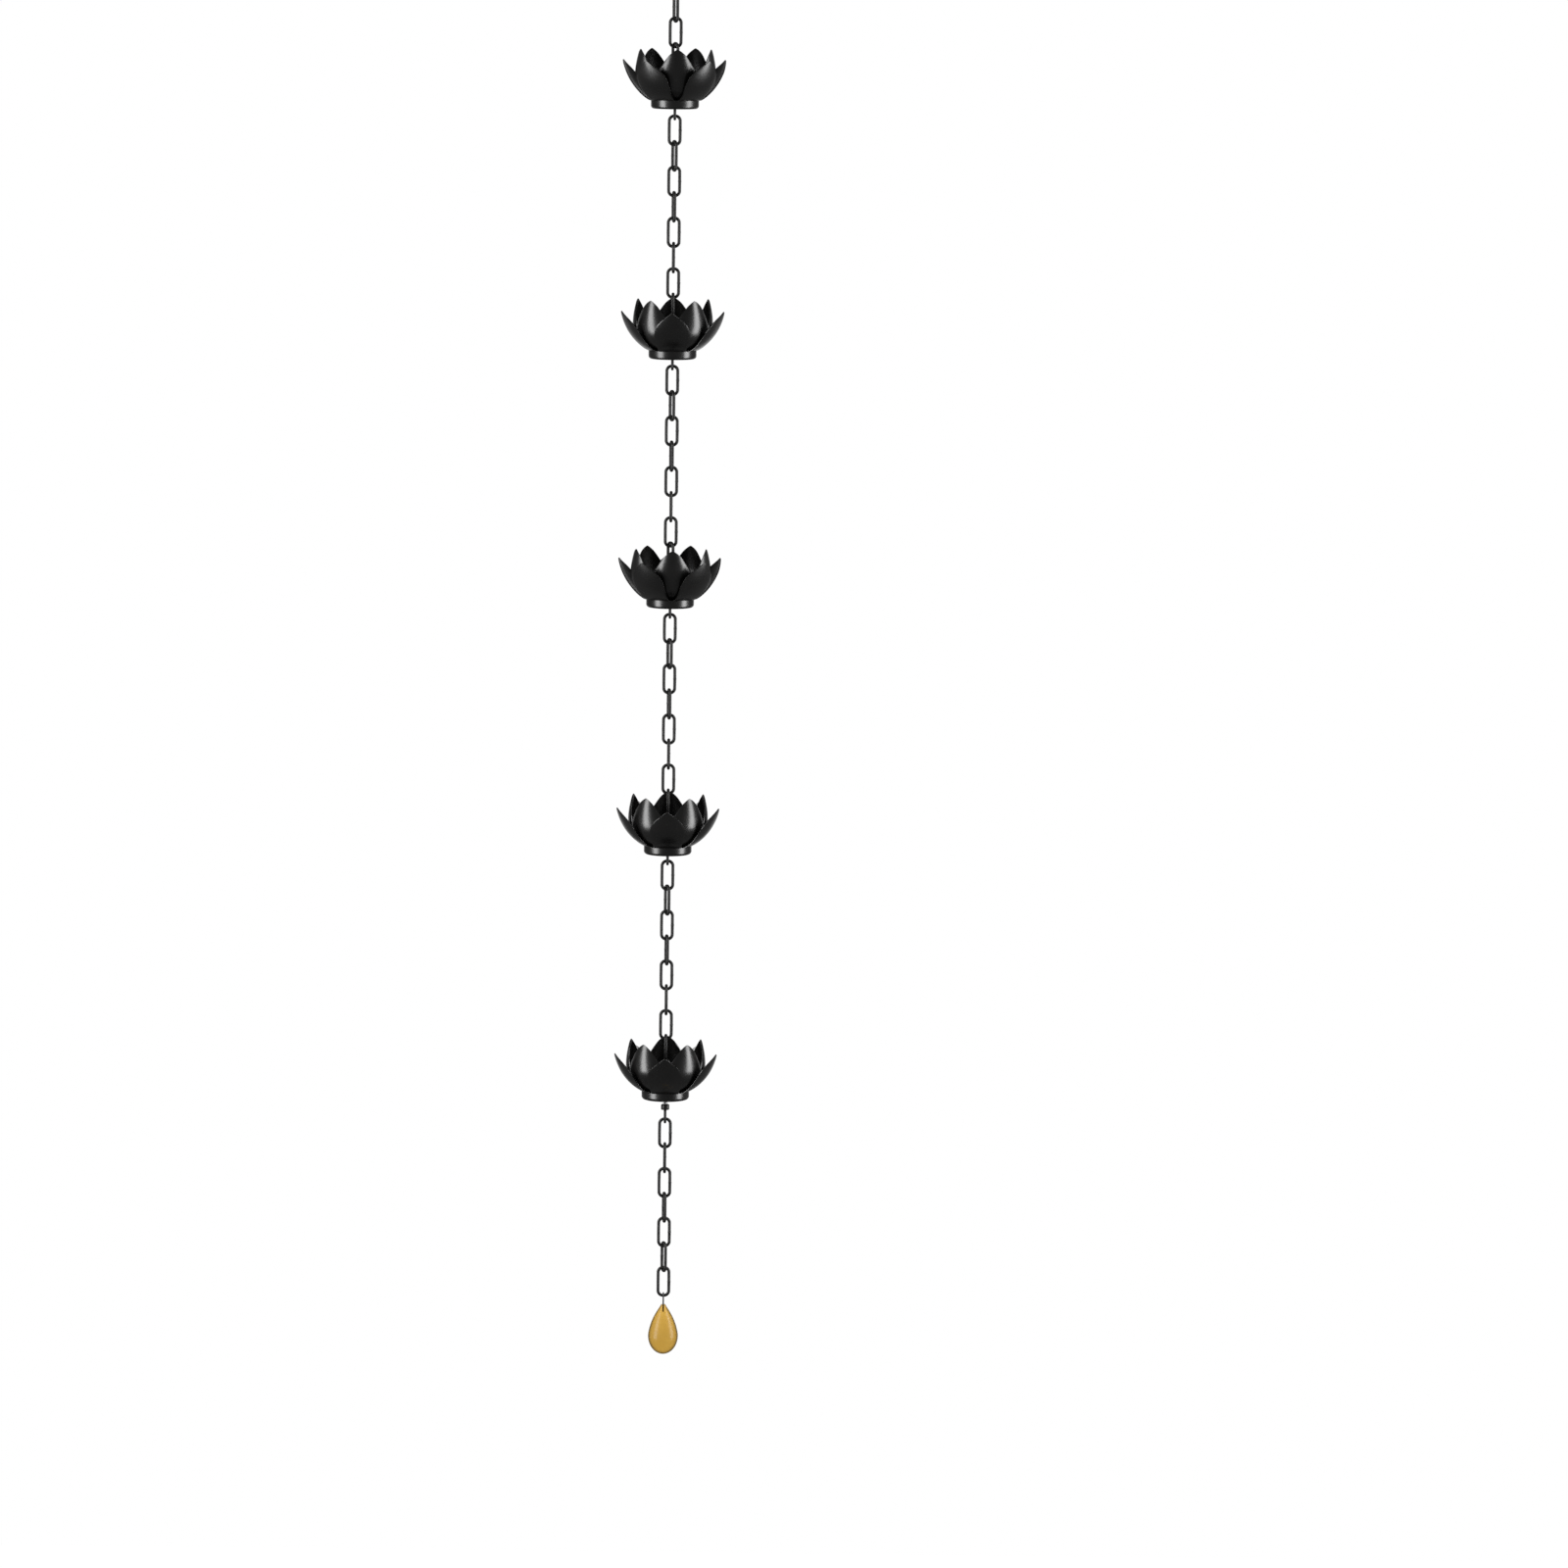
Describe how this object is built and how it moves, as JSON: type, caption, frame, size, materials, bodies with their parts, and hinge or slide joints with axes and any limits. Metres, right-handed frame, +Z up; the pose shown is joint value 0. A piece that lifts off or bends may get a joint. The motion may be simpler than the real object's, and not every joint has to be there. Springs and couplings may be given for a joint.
{
  "type": "rain chain",
  "caption": "Rain chain: lotus-shaped metal cups strung on runs of oval links, with an amber glass drop at the end",
  "frame": {"origin": "the point where the gutter hook bears, inside the crown of the top link, on the chain's line", "axes": "+Z up along the hanging chain, -Y towards the viewer of the front, +X to the viewer's right"},
  "size_m": [0.1143, 0.1183, 1.5062],
  "materials": {
    "black_metal": "satin black powder coat",
    "hanger_metal": "black coated steel with a bare bright thread on the lowest cup",
    "silver_wire": "plain drawn wire",
    "amber_glass": "clear amber glass"
  },
  "bodies": {
    "link_01": {"link_01": "black_metal"},
    "link_02": {"link_02": "black_metal"},
    "link_03": {"link_03": "black_metal"},
    "cup_1": {"cup_1_petals": "black_metal", "cup_1_bowl": "black_metal", "cup_1_hanger": "hanger_metal"},
    "link_04": {"link_04": "black_metal"},
    "link_05": {"link_05": "black_metal"},
    "link_06": {"link_06": "black_metal"},
    "link_07": {"link_07": "black_metal"},
    "link_08": {"link_08": "black_metal"},
    "link_09": {"link_09": "black_metal"},
    "link_10": {"link_10": "black_metal"},
    "link_11": {"link_11": "black_metal"},
    "cup_2": {"cup_2_petals": "black_metal", "cup_2_bowl": "black_metal", "cup_2_hanger": "hanger_metal"},
    "link_12": {"link_12": "black_metal"},
    "link_13": {"link_13": "black_metal"},
    "link_14": {"link_14": "black_metal"},
    "link_15": {"link_15": "black_metal"},
    "link_16": {"link_16": "black_metal"},
    "link_17": {"link_17": "black_metal"},
    "link_18": {"link_18": "black_metal"},
    "link_19": {"link_19": "black_metal"},
    "cup_3": {"cup_3_petals": "black_metal", "cup_3_bowl": "black_metal", "cup_3_hanger": "hanger_metal"},
    "link_20": {"link_20": "black_metal"},
    "link_21": {"link_21": "black_metal"},
    "link_22": {"link_22": "black_metal"},
    "link_23": {"link_23": "black_metal"},
    "link_24": {"link_24": "black_metal"},
    "link_25": {"link_25": "black_metal"},
    "link_26": {"link_26": "black_metal"},
    "link_27": {"link_27": "black_metal"},
    "cup_4": {"cup_4_petals": "black_metal", "cup_4_bowl": "black_metal", "cup_4_hanger": "hanger_metal"},
    "link_28": {"link_28": "black_metal"},
    "link_29": {"link_29": "black_metal"},
    "link_30": {"link_30": "black_metal"},
    "link_31": {"link_31": "black_metal"},
    "link_32": {"link_32": "black_metal"},
    "link_33": {"link_33": "black_metal"},
    "link_34": {"link_34": "black_metal"},
    "link_35": {"link_35": "black_metal"},
    "cup_5": {"cup_5_petals": "black_metal", "cup_5_bowl": "black_metal", "cup_5_hanger": "hanger_metal"},
    "link_36": {"link_36": "black_metal"},
    "link_37": {"link_37": "black_metal"},
    "link_38": {"link_38": "black_metal"},
    "link_39": {"link_39": "black_metal"},
    "link_40": {"link_40": "black_metal"},
    "link_41": {"link_41": "black_metal"},
    "link_42": {"link_42": "black_metal"},
    "drop": {"drop_wire": "silver_wire", "glass_drop": "amber_glass"}
  },
  "joints": [
    {"name": "link_02_swing", "type": "hinge", "parent": "link_01", "child": "link_02", "pos_m": [0, 0, -0.0297], "axis": [-0.342, 0.9397, 0], "range_deg": [-60, 60]},
    {"name": "link_03_swing", "type": "hinge", "parent": "link_02", "child": "link_03", "pos_m": [0, 0, -0.05745], "axis": [1, 0, 0], "range_deg": [-60, 60]},
    {"name": "cup_1_swing", "type": "hinge", "parent": "link_03", "child": "cup_1", "pos_m": [0, 0, -0.0852], "axis": [0.4695, -0.8829, 0], "range_deg": [-30, 30]},
    {"name": "link_04_swing", "type": "hinge", "parent": "cup_1", "child": "link_04", "pos_m": [0, 0, -0.13605], "axis": [0, 1, 0], "range_deg": [-60, 60]},
    {"name": "link_05_swing", "type": "hinge", "parent": "link_04", "child": "link_05", "pos_m": [0, 0, -0.164], "axis": [-1, 0, 0], "range_deg": [-60, 60]},
    {"name": "link_06_swing", "type": "hinge", "parent": "link_05", "child": "link_06", "pos_m": [0, 0, -0.19175], "axis": [0.342, -0.9397, 0], "range_deg": [-60, 60]},
    {"name": "link_07_swing", "type": "hinge", "parent": "link_06", "child": "link_07", "pos_m": [0, 0, -0.2195], "axis": [1, 0, 0], "range_deg": [-60, 60]},
    {"name": "link_08_swing", "type": "hinge", "parent": "link_07", "child": "link_08", "pos_m": [0, 0, -0.24725], "axis": [-0.1736, 0.9848, 0], "range_deg": [-60, 60]},
    {"name": "link_09_swing", "type": "hinge", "parent": "link_08", "child": "link_09", "pos_m": [0, 0, -0.275], "axis": [-1, 0, 0], "range_deg": [-60, 60]},
    {"name": "link_10_swing", "type": "hinge", "parent": "link_09", "child": "link_10", "pos_m": [0, 0, -0.30275], "axis": [0, -1, 0], "range_deg": [-60, 60]},
    {"name": "link_11_swing", "type": "hinge", "parent": "link_10", "child": "link_11", "pos_m": [0, 0, -0.3305], "axis": [1, 0, 0], "range_deg": [-60, 60]},
    {"name": "cup_2_swing", "type": "hinge", "parent": "link_11", "child": "cup_2", "pos_m": [0, 0, -0.35825], "axis": [0, 1, 0], "range_deg": [-30, 30]},
    {"name": "link_12_swing", "type": "hinge", "parent": "cup_2", "child": "link_12", "pos_m": [0, 0, -0.4091], "axis": [0, -1, 0], "range_deg": [-60, 60]},
    {"name": "link_13_swing", "type": "hinge", "parent": "link_12", "child": "link_13", "pos_m": [0, 0, -0.43705], "axis": [-1, 0, 0], "range_deg": [-60, 60]},
    {"name": "link_14_swing", "type": "hinge", "parent": "link_13", "child": "link_14", "pos_m": [0, 0, -0.4648], "axis": [-0.342, 0.9397, 0], "range_deg": [-60, 60]},
    {"name": "link_15_swing", "type": "hinge", "parent": "link_14", "child": "link_15", "pos_m": [0, 0, -0.49255], "axis": [1, 0, 0], "range_deg": [-60, 60]},
    {"name": "link_16_swing", "type": "hinge", "parent": "link_15", "child": "link_16", "pos_m": [0, 0, -0.5203], "axis": [0.1736, -0.9848, 0], "range_deg": [-60, 60]},
    {"name": "link_17_swing", "type": "hinge", "parent": "link_16", "child": "link_17", "pos_m": [0, 0, -0.54805], "axis": [-1, 0, 0], "range_deg": [-60, 60]},
    {"name": "link_18_swing", "type": "hinge", "parent": "link_17", "child": "link_18", "pos_m": [0, 0, -0.5758], "axis": [0, 1, 0], "range_deg": [-60, 60]},
    {"name": "link_19_swing", "type": "hinge", "parent": "link_18", "child": "link_19", "pos_m": [0, 0, -0.60355], "axis": [1, 0, 0], "range_deg": [-60, 60]},
    {"name": "cup_3_swing", "type": "hinge", "parent": "link_19", "child": "cup_3", "pos_m": [0, 0, -0.6313], "axis": [0.4695, -0.8829, 0], "range_deg": [-30, 30]},
    {"name": "link_20_swing", "type": "hinge", "parent": "cup_3", "child": "link_20", "pos_m": [0, 0, -0.68215], "axis": [0, 1, 0], "range_deg": [-60, 60]},
    {"name": "link_21_swing", "type": "hinge", "parent": "link_20", "child": "link_21", "pos_m": [0, 0, -0.7101], "axis": [-1, 0, 0], "range_deg": [-60, 60]},
    {"name": "link_22_swing", "type": "hinge", "parent": "link_21", "child": "link_22", "pos_m": [0, 0, -0.73785], "axis": [0.342, -0.9397, 0], "range_deg": [-60, 60]},
    {"name": "link_23_swing", "type": "hinge", "parent": "link_22", "child": "link_23", "pos_m": [0, 0, -0.7656], "axis": [1, 0, 0], "range_deg": [-60, 60]},
    {"name": "link_24_swing", "type": "hinge", "parent": "link_23", "child": "link_24", "pos_m": [0, 0, -0.79335], "axis": [-0.1736, 0.9848, 0], "range_deg": [-60, 60]},
    {"name": "link_25_swing", "type": "hinge", "parent": "link_24", "child": "link_25", "pos_m": [0, 0, -0.8211], "axis": [-1, 0, 0], "range_deg": [-60, 60]},
    {"name": "link_26_swing", "type": "hinge", "parent": "link_25", "child": "link_26", "pos_m": [0, 0, -0.84885], "axis": [0, -1, 0], "range_deg": [-60, 60]},
    {"name": "link_27_swing", "type": "hinge", "parent": "link_26", "child": "link_27", "pos_m": [0, 0, -0.8766], "axis": [1, 0, 0], "range_deg": [-60, 60]},
    {"name": "cup_4_swing", "type": "hinge", "parent": "link_27", "child": "cup_4", "pos_m": [0, 0, -0.90435], "axis": [0, 1, 0], "range_deg": [-30, 30]},
    {"name": "link_28_swing", "type": "hinge", "parent": "cup_4", "child": "link_28", "pos_m": [0, 0, -0.9552], "axis": [0, -1, 0], "range_deg": [-60, 60]},
    {"name": "link_29_swing", "type": "hinge", "parent": "link_28", "child": "link_29", "pos_m": [0, 0, -0.98315], "axis": [-1, 0, 0], "range_deg": [-60, 60]},
    {"name": "link_30_swing", "type": "hinge", "parent": "link_29", "child": "link_30", "pos_m": [0, 0, -1.0109], "axis": [-0.342, 0.9397, 0], "range_deg": [-60, 60]},
    {"name": "link_31_swing", "type": "hinge", "parent": "link_30", "child": "link_31", "pos_m": [0, 0, -1.03865], "axis": [1, 0, 0], "range_deg": [-60, 60]},
    {"name": "link_32_swing", "type": "hinge", "parent": "link_31", "child": "link_32", "pos_m": [0, 0, -1.0664], "axis": [0.1736, -0.9848, 0], "range_deg": [-60, 60]},
    {"name": "link_33_swing", "type": "hinge", "parent": "link_32", "child": "link_33", "pos_m": [0, 0, -1.09415], "axis": [-1, 0, 0], "range_deg": [-60, 60]},
    {"name": "link_34_swing", "type": "hinge", "parent": "link_33", "child": "link_34", "pos_m": [0, 0, -1.1219], "axis": [0, 1, 0], "range_deg": [-60, 60]},
    {"name": "link_35_swing", "type": "hinge", "parent": "link_34", "child": "link_35", "pos_m": [0, 0, -1.14965], "axis": [1, 0, 0], "range_deg": [-60, 60]},
    {"name": "cup_5_swing", "type": "hinge", "parent": "link_35", "child": "cup_5", "pos_m": [0, 0, -1.1774], "axis": [0, -1, 0], "range_deg": [-30, 30]},
    {"name": "link_36_swing", "type": "hinge", "parent": "cup_5", "child": "link_36", "pos_m": [0, 0, -1.24275], "axis": [0, 1, 0], "range_deg": [-60, 60]},
    {"name": "link_37_swing", "type": "hinge", "parent": "link_36", "child": "link_37", "pos_m": [0, 0, -1.2707], "axis": [-1, 0, 0], "range_deg": [-60, 60]},
    {"name": "link_38_swing", "type": "hinge", "parent": "link_37", "child": "link_38", "pos_m": [0, 0, -1.29845], "axis": [0, -1, 0], "range_deg": [-60, 60]},
    {"name": "link_39_swing", "type": "hinge", "parent": "link_38", "child": "link_39", "pos_m": [0, 0, -1.3262], "axis": [1, 0, 0], "range_deg": [-60, 60]},
    {"name": "link_40_swing", "type": "hinge", "parent": "link_39", "child": "link_40", "pos_m": [0, 0, -1.35395], "axis": [-0.1736, 0.9848, 0], "range_deg": [-60, 60]},
    {"name": "link_41_swing", "type": "hinge", "parent": "link_40", "child": "link_41", "pos_m": [0, 0, -1.3817], "axis": [-1, 0, 0], "range_deg": [-60, 60]},
    {"name": "link_42_swing", "type": "hinge", "parent": "link_41", "child": "link_42", "pos_m": [0, 0, -1.40945], "axis": [0.342, -0.9397, 0], "range_deg": [-60, 60]},
    {"name": "drop_swing", "type": "hinge", "parent": "link_42", "child": "drop", "pos_m": [0, 0, -1.4372], "axis": [1, 0, 0], "range_deg": [-60, 60]}
  ]
}
